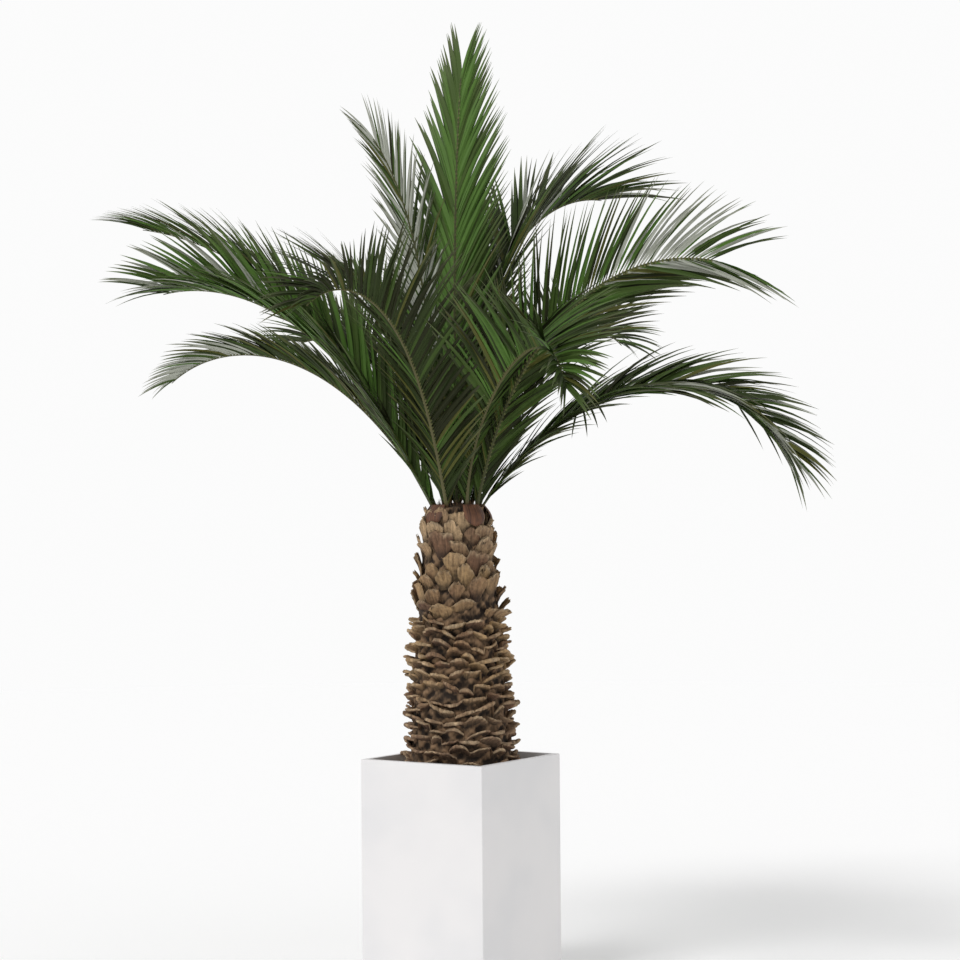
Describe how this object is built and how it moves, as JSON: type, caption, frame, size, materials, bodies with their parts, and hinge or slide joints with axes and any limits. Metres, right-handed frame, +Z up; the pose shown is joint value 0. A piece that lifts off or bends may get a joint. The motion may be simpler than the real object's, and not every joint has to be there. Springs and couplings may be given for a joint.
{
  "type": "potted date palm tree",
  "caption": "Date palm tree with a stout trunk clad in old leaf boots and a crown of arching feather fronds, in a tall square planter.",
  "frame": {"origin": "centre of the planter's flat underside", "axes": "+Z up along the trunk, the planter's walls face +X, -X, +Y and -Y"},
  "size_m": [2.5424, 2.415, 3.3899],
  "materials": {
    "planter_shell": "satin white",
    "planting_fill": "rough dark mulch",
    "boot_bark": "rough fibrous",
    "palm_leaf": "satin leaf"
  },
  "bodies": {
    "root": {"planter": "planter_shell", "fill": "planting_fill", "trunk": "boot_bark", "frond_01": "palm_leaf", "frond_02": "palm_leaf", "frond_03_base": "palm_leaf", "frond_03_tip": "palm_leaf", "frond_04_base": "palm_leaf", "frond_04_tip": "palm_leaf", "frond_05_base": "palm_leaf", "frond_05_tip": "palm_leaf", "frond_06_base": "palm_leaf", "frond_06_tip": "palm_leaf", "frond_07": "palm_leaf", "frond_08_base": "palm_leaf", "frond_08_tip": "palm_leaf", "frond_09_base": "palm_leaf", "frond_09_tip": "palm_leaf", "frond_10_base": "palm_leaf", "frond_10_tip": "palm_leaf", "frond_11_base": "palm_leaf", "frond_11_tip": "palm_leaf", "frond_12_base": "palm_leaf", "frond_12_tip": "palm_leaf", "frond_13_base": "palm_leaf", "frond_13_tip": "palm_leaf", "frond_14_base": "palm_leaf", "frond_14_tip": "palm_leaf", "frond_15_base": "palm_leaf", "frond_15_tip": "palm_leaf", "frond_16_base": "palm_leaf", "frond_16_tip": "palm_leaf"}
  },
  "joints": []
}
